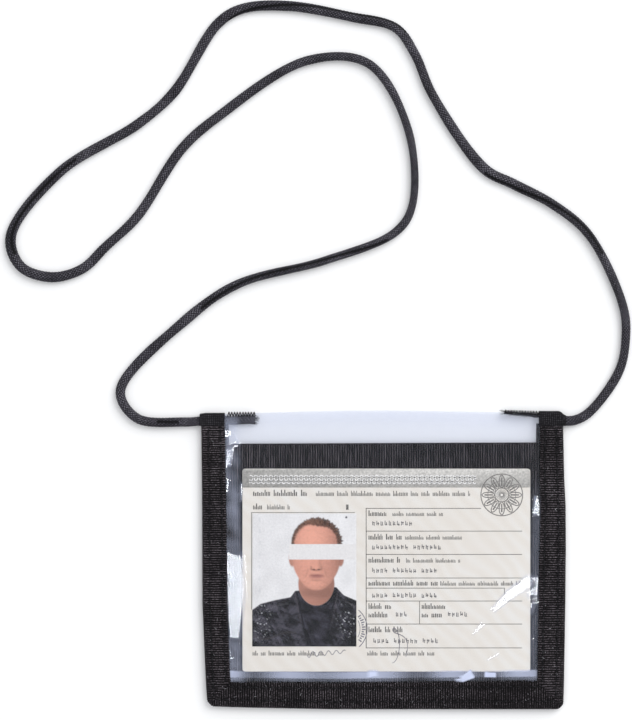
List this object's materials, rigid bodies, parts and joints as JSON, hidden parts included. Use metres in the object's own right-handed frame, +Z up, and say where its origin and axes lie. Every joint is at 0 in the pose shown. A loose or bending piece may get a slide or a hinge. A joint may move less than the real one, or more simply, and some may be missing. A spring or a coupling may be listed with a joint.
{
  "type": "neck pouch wallet",
  "caption": "Flat clear-fronted card pouch with a folded tape binding, a cloth divider, a braided neck cord and a sliding sample card.",
  "frame": {"origin": "middle of the pouch's back face, where it rests on a table, measured without the cord", "axes": "+Z up out of the clear front, +Y from the closed bottom edge to the open mouth, +X to the right along the pouch's long side"},
  "size_m": [0.2278, 0.2584, 0.0033],
  "materials": {
    "ribbed_tape": "black ribbed polyester binding tape, matt with a slight sheen on the ribs",
    "clear_film": "clear soft vinyl film with a faint blue tint, glossy",
    "divider_cloth": "black plain-woven nylon, matt",
    "braided_cord": "black tubular braid, matt with fine bright flecks",
    "sewing_thread": "black spun sewing thread",
    "card_stock": "cream printed card under a satin laminate",
    "portrait_photo": null
  },
  "bodies": {
    "pouch": {"binding_tape": "ribbed_tape", "left_corner_fold": "ribbed_tape", "right_corner_fold": "ribbed_tape", "front_window": "clear_film", "back_window": "clear_film", "divider_panel": "divider_cloth", "neck_cord": "braided_cord", "left_cord_end": "braided_cord", "right_cord_end": "braided_cord", "left_bartack": "sewing_thread", "right_bartack": "sewing_thread", "needle_thread_inner": "sewing_thread", "needle_thread_outer": "sewing_thread", "bobbin_thread_inner": "sewing_thread", "bobbin_thread_outer": "sewing_thread"},
    "card": {"card_core": "card_stock", "portrait_print": "portrait_photo"}
  },
  "joints": [
    {"name": "card_slide", "type": "slide", "parent": "pouch", "child": "card", "axis": [0, 1, 0], "range_m": [0, 0.06]}
  ]
}
